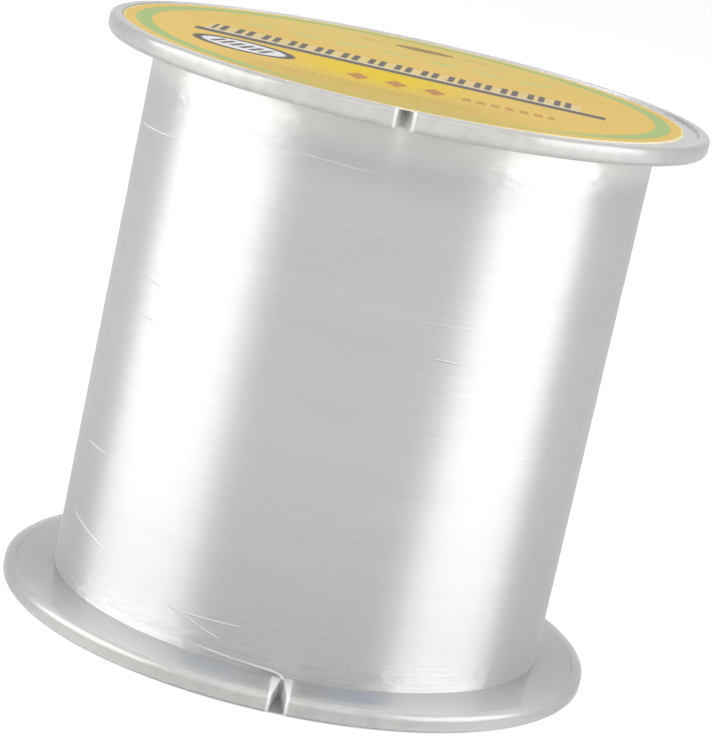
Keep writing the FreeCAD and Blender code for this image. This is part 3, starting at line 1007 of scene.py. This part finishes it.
def make_label(material):
    """The paper label, with a rounded cut edge and a slight sag over the open hub."""
    radii = list(np.linspace(0, LABEL_RADIUS - 0.05 * MM, 40)) + [LABEL_RADIUS - 0.02 * MM]
    profile = [(r, label_low.z + UNDER_LABEL_GAP) for r in radii + [LABEL_RADIUS]]
    profile += [(LABEL_RADIUS, label_high.z - LABEL_EDGE_ROUND)]
    profile += [(r, label_high.z - label_sag(r)) for r in reversed(radii)]
    angles = np.arange(LABEL_STEPS) / LABEL_STEPS * 2 * math.pi
    verts = around_axis(profile, angles, LABEL_CENTRE)
    faces = []
    for i in range(len(profile) - 1):
        first, following = i * LABEL_STEPS, (i + 1) * LABEL_STEPS
        for k in range(LABEL_STEPS):
            j = (k + 1) % LABEL_STEPS
            faces.append((first + k, first + j, following + j, following + k))
    thing = mesh_object("printed_face_label", verts, faces, material)
    tidy_normals(thing)
    show(thing, "face_label")


# Camera, light and floor.

# Name, azimuth and elevation in degrees (0 is the camera's side and 90 is +X), distance, width and
# height in metres, radiance and tint.
SOFTBOXES = [
    ("softbox_left", -80, 8, 0.6, 0.68, 0.9, 4.2, (1.0, 0.995, 0.985)),
    ("softbox_right", 73.7, 8, 0.6, 0.555, 0.9, 4.2, (0.99, 0.995, 1.0)),
    ("softbox_left_edge", -38, 8, 0.6, 0.18, 0.9, 0.24, (1.0, 0.86, 0.68)),
    ("softbox_right_edge", 38, 8, 0.6, 0.18, 0.9, 0.24, (1.0, 0.86, 0.68)),
    ("softbox_front", 0, 40, 0.9, 0.9, 0.6, 1.2, (1.0, 0.985, 0.955)),
]
AMBIENT_COLOUR, AMBIENT_STRENGTH = (1.0, 0.995, 0.985), 0.34
BACKDROP_COLOUR, BACKDROP_STRENGTH = (0.8, 0.8, 0.8), 1.0

# The floor glows by the kind of ray that sees it, and hardly at all under the spool, a painted shadow.
FLOOR_COLOUR = (0.3, 0.3, 0.3)
FLOOR_GLOW = (("Camera", 0.84), ("Glossy", 0.46), ("Transmission", 0.2), ("Diffuse", 0.45))
GLOW_IN_PAINTED_SHADOW = 0.08
PAINTED_SHADOW_EDGE = (FLANGE_RADIUS - 1.2 * MM, FLANGE_RADIUS - 0.2 * MM)
FLOOR_REACH = 4.0
FLOOR_GAP = 0.1 * MM


def make_camera():
    """The camera at the photograph's viewing angle, with its roll."""
    data = bpy.data.cameras.new("camera")
    data.lens = LENS
    data.sensor_width = 36
    data.clip_start = 0.01
    camera = bpy.data.objects.new("camera", data)
    bpy.context.scene.collection.objects.link(camera)
    turn = Matrix.Rotation(VIEW_AZIMUTH, 3, "Z")
    level_right = turn @ Vector((1, 0, 0))
    level_up = turn @ Vector((0, math.sin(VIEW_ELEVATION), math.cos(VIEW_ELEVATION)))
    forward = level_up.cross(level_right)
    right = math.cos(VIEW_ROLL) * level_right + math.sin(VIEW_ROLL) * level_up
    up = math.cos(VIEW_ROLL) * level_up - math.sin(VIEW_ROLL) * level_right
    centre = Vector((0, 0, HEIGHT / 2))
    place = centre - SPOOL_RIGHT_OF_AIM * right + SPOOL_BELOW_AIM * up - VIEW_DISTANCE * forward
    matrix = camera.matrix_world
    for column, axis in enumerate((right, up, -forward)):
        for line in range(3):
            matrix[line][column] = axis[line]
    matrix.translation = place
    camera.matrix_world = matrix
    bpy.context.scene.camera = camera


def softbox(name, azimuth, elevation, distance, width, height, radiance, tint):
    """An area lamp that faces the spool."""
    data = bpy.data.lights.new(name, "AREA")
    data.shape = "RECTANGLE"
    data.size = width
    data.size_y = height
    data.energy = radiance * math.pi * width * height
    data.color = tint
    lamp = bpy.data.objects.new(name, data)
    bpy.context.scene.collection.objects.link(lamp)
    a, e = math.radians(azimuth), math.radians(elevation)
    direction = Vector((math.sin(a) * math.cos(e), -math.cos(a) * math.cos(e), math.sin(e)))
    lamp.location = Vector((0, 0, HEIGHT / 2)) + direction * distance
    lamp.rotation_euler = (-direction).to_track_quat("-Z", "Y").to_euler()


def make_floor():
    """A pale floor that renders white, apart from the spool's shadow: partly real, and painted under the
    spool.
    """
    n = Nodes(bpy.data.materials.new("floor"))
    rays = n.new("ShaderNodeLightPath").outputs
    glow = 0.0
    for kind, strength in FLOOR_GLOW:
        glow = n.math("MAXIMUM", n.product(rays[f"Is {kind} Ray"], strength), glow)
    _, (x, y, _) = n.place()
    # The glow drops under the spool: a painted shadow.
    outside = n.step(n.length(x, y), *PAINTED_SHADOW_EDGE)
    diffuse = n.new("ShaderNodeBsdfDiffuse")
    n.put(diffuse.inputs["Color"], FLOOR_COLOUR)
    emission = n.new("ShaderNodeEmission")
    n.put(emission.inputs["Strength"], n.scale(outside, GLOW_IN_PAINTED_SHADOW, glow))
    both = n.new("ShaderNodeAddShader")
    n.put(both.inputs[0], diffuse.outputs[0])
    n.put(both.inputs[1], emission.outputs[0])
    n.put(n.output.inputs["Surface"], both.outputs[0])
    far = FLOOR_REACH
    corners = [(-far, -far, 0), (far, -far, 0), (far, far, 0), (-far, far, 0)]
    floor = mesh_object("floor", corners, [(0, 1, 2, 3)], n.owner)
    floor.location.z = -FLOOR_GAP


def make_world():
    """Even studio light of a pale grey, and a brighter backdrop past the floor's edge."""
    world = bpy.data.worlds.new("studio")
    bpy.context.scene.world = world
    n = Nodes(world, "ShaderNodeOutputWorld")
    rays = n.new("ShaderNodeLightPath").outputs
    seen = n.math("MAXIMUM", rays["Is Camera Ray"], rays["Is Transmission Ray"])
    mix = n.new("ShaderNodeMixShader")
    n.put(mix.inputs[0], n.math("MAXIMUM", seen, rays["Is Glossy Ray"]))
    backgrounds = ((AMBIENT_COLOUR, AMBIENT_STRENGTH), (BACKDROP_COLOUR, BACKDROP_STRENGTH))
    for socket, (colour, strength) in zip(list(mix.inputs)[1:], backgrounds):
        background = n.new("ShaderNodeBackground")
        n.put(background.inputs["Color"], colour)
        n.put(background.inputs["Strength"], strength)
        n.put(socket, background.outputs[0])
    n.put(n.output.inputs["Surface"], mix.outputs[0])


make_halves(clear_plastic())
wound_line(wound_nylon())
loose_strands(single_strand())
make_label(label_print())
make_camera()
for box in SOFTBOXES:
    softbox(*box)
make_floor()
make_world()
bpy.context.scene.view_settings.view_transform = "Standard"
